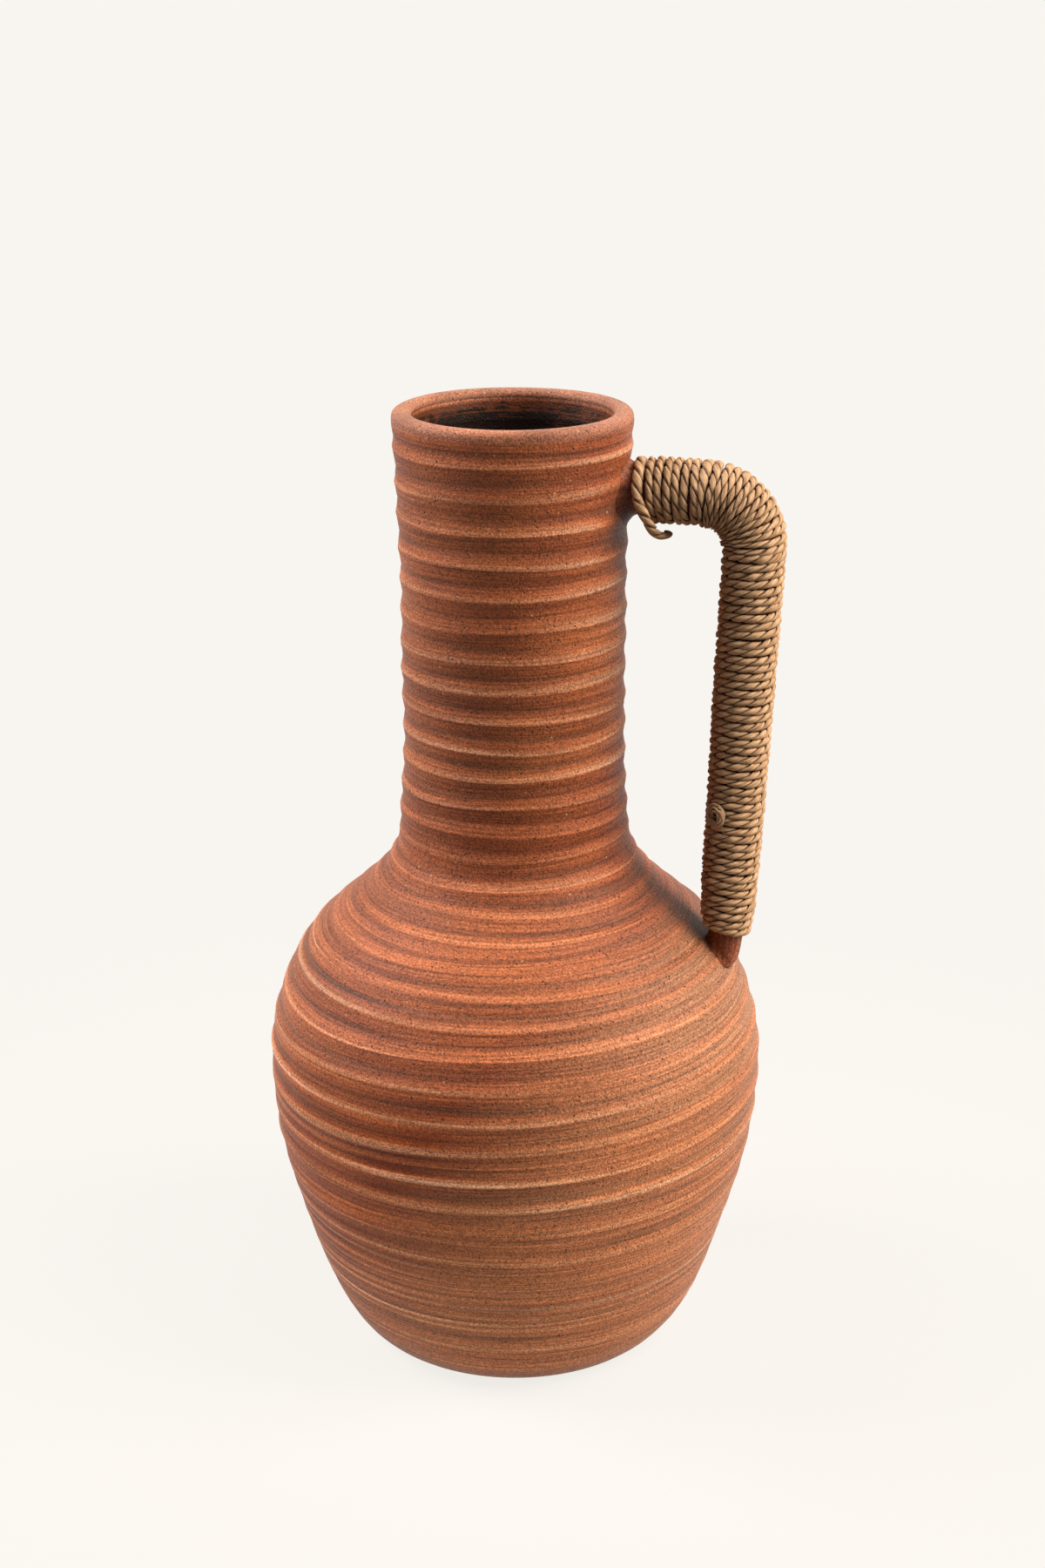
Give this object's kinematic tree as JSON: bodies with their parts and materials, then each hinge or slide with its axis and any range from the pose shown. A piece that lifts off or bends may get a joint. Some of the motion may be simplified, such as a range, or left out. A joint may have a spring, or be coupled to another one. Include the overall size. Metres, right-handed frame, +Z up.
{
  "type": "clay pitcher",
  "caption": "Wheel-thrown clay pitcher with a rounded belly, a tall ringed neck with an open lip, and a bent side handle wound with twisted fibre cord.",
  "frame": {"origin": "centre of the flat foot, on the surface that the pitcher stands on", "axes": "+Z up along the axis the pitcher was thrown on, +X towards the handle, -Y towards the viewer who has the handle on the right"},
  "size_m": [0.1746, 0.1702, 0.328],
  "materials": {
    "fired_clay": "unglazed, brushed with slip and fired to a dull satin, with throwing rings",
    "fibre_cord": "two-ply plant fibre, dry and slightly hairy"
  },
  "bodies": {
    "root": {"belly": "fired_clay", "neck": "fired_clay", "handle": "fired_clay", "cord_upper": "fibre_cord", "cord_lower": "fibre_cord", "cord_knot": "fibre_cord", "cord_tail": "fibre_cord"}
  },
  "joints": []
}
